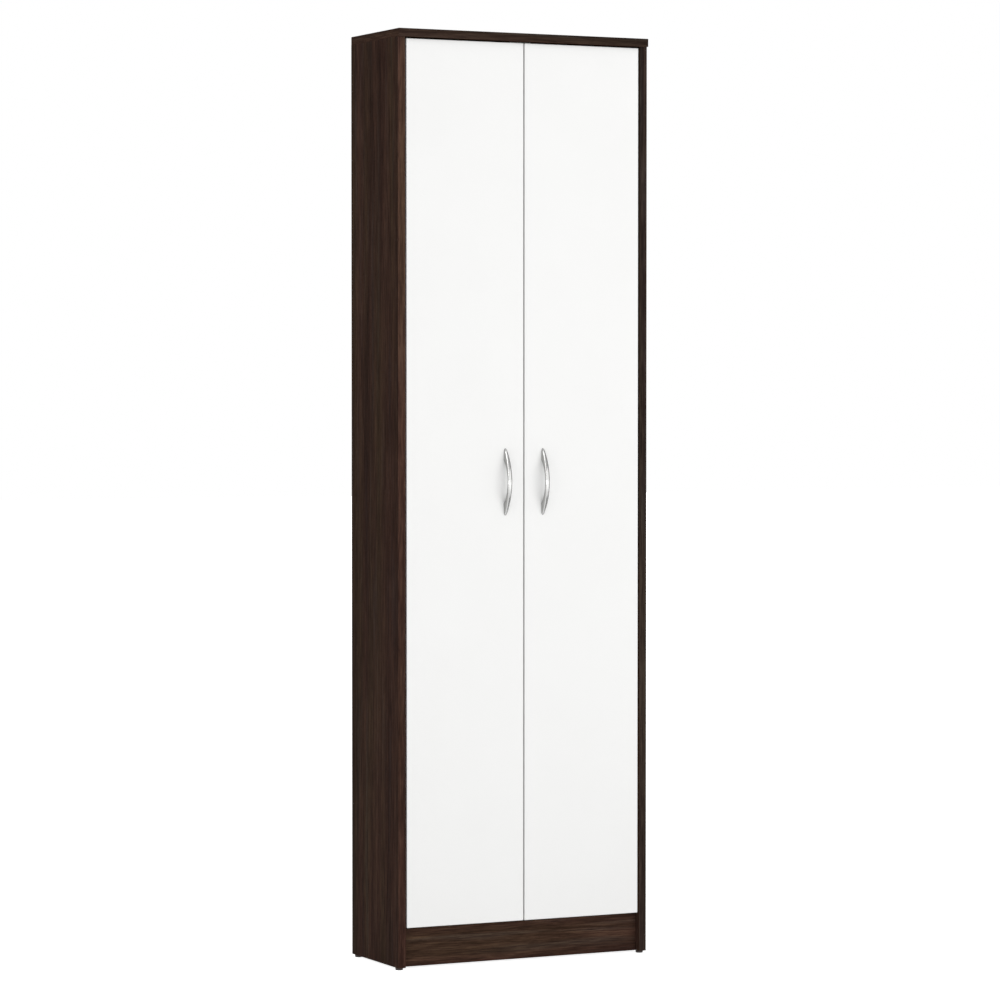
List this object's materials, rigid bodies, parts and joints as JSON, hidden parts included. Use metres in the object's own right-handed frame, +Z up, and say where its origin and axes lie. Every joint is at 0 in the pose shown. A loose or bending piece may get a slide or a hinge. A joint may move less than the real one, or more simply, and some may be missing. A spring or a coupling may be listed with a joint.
{
  "type": "cupboard",
  "caption": "Tall narrow cupboard of laminated board with two inset doors on concealed hinges, bow handles, a plinth, shelves inside and glides below.",
  "frame": {"origin": "on the floor, at the middle of the overall width and of the overall depth, handles included", "axes": "+Z up along the height, +X to the right as seen from the front, +Y from the front to the back"},
  "size_m": [0.55, 0.248, 1.84],
  "materials": {
    "dark_board": "laminated board with a dark brown wood grain, matt",
    "white_board": "laminated board, plain white, matt",
    "back_sheet": "thin fibreboard, white inside and bare brown outside",
    "glide_plastic": "moulded dark brown plastic",
    "zinc_casting": "die-cast zinc, dull",
    "beech": "turned beech",
    "shelf_pin_plastic": "moulded plastic",
    "screw_steel": "zinc-plated steel",
    "hinge_steel": "nickel-plated steel",
    "catch_plastic": "moulded white plastic",
    "magnet": "bare ferrite",
    "satin_metal": "satin nickel on cast metal"
  },
  "bodies": {
    "carcass": {"left_side": "dark_board", "right_side": "dark_board", "top_panel": "dark_board", "bottom_panel": "dark_board", "fixed_shelf": "dark_board", "plinth": "dark_board", "adjustable_shelf_1": "dark_board", "adjustable_shelf_2": "dark_board", "adjustable_shelf_3": "dark_board", "lower_back_panel": "back_sheet", "upper_back_panel": "back_sheet", "left_front_glide": "glide_plastic", "right_front_glide": "glide_plastic", "left_rear_glide": "glide_plastic", "right_rear_glide": "glide_plastic", "cam_locks": "zinc_casting", "cam_bolts": "zinc_casting", "dowels": "beech", "shelf_pins": "shelf_pin_plastic", "back_nails": "screw_steel", "hinge_plate_screws": "screw_steel", "hinge_arm_screws": "screw_steel", "top_catch": "catch_plastic", "bottom_catch": "catch_plastic", "catch_magnets": "magnet", "catch_screws": "screw_steel", "left_hinge_arm_1": "hinge_steel", "left_hinge_arm_2": "hinge_steel", "left_hinge_arm_3": "hinge_steel", "left_hinge_plate_1": "hinge_steel", "left_hinge_plate_2": "hinge_steel", "left_hinge_plate_3": "hinge_steel", "right_hinge_arm_1": "hinge_steel", "right_hinge_arm_2": "hinge_steel", "right_hinge_arm_3": "hinge_steel", "right_hinge_plate_1": "hinge_steel", "right_hinge_plate_2": "hinge_steel", "right_hinge_plate_3": "hinge_steel"},
    "left_leaf": {"left_door": "white_board", "left_handle": "satin_metal", "left_handle_screws": "screw_steel", "left_strikes": "hinge_steel", "left_strike_screws": "screw_steel", "left_hinge_cup_1": "hinge_steel", "left_hinge_cup_2": "hinge_steel", "left_hinge_cup_3": "hinge_steel", "left_hinge_pivots": "screw_steel", "left_cup_screws": "screw_steel"},
    "right_leaf": {"right_door": "white_board", "right_handle": "satin_metal", "right_handle_screws": "screw_steel", "right_strikes": "hinge_steel", "right_strike_screws": "screw_steel", "right_hinge_cup_1": "hinge_steel", "right_hinge_cup_2": "hinge_steel", "right_hinge_cup_3": "hinge_steel", "right_hinge_pivots": "screw_steel", "right_cup_screws": "screw_steel"}
  },
  "joints": [
    {"name": "left_door_hinge", "type": "hinge", "parent": "carcass", "child": "left_leaf", "pos_m": [-0.245, -0.0925, 0.952], "axis": [0, 0, -1], "range_deg": [0, 95]},
    {"name": "right_door_hinge", "type": "hinge", "parent": "carcass", "child": "right_leaf", "pos_m": [0.245, -0.0925, 0.952], "axis": [0, 0, 1], "range_deg": [0, 95]}
  ]
}
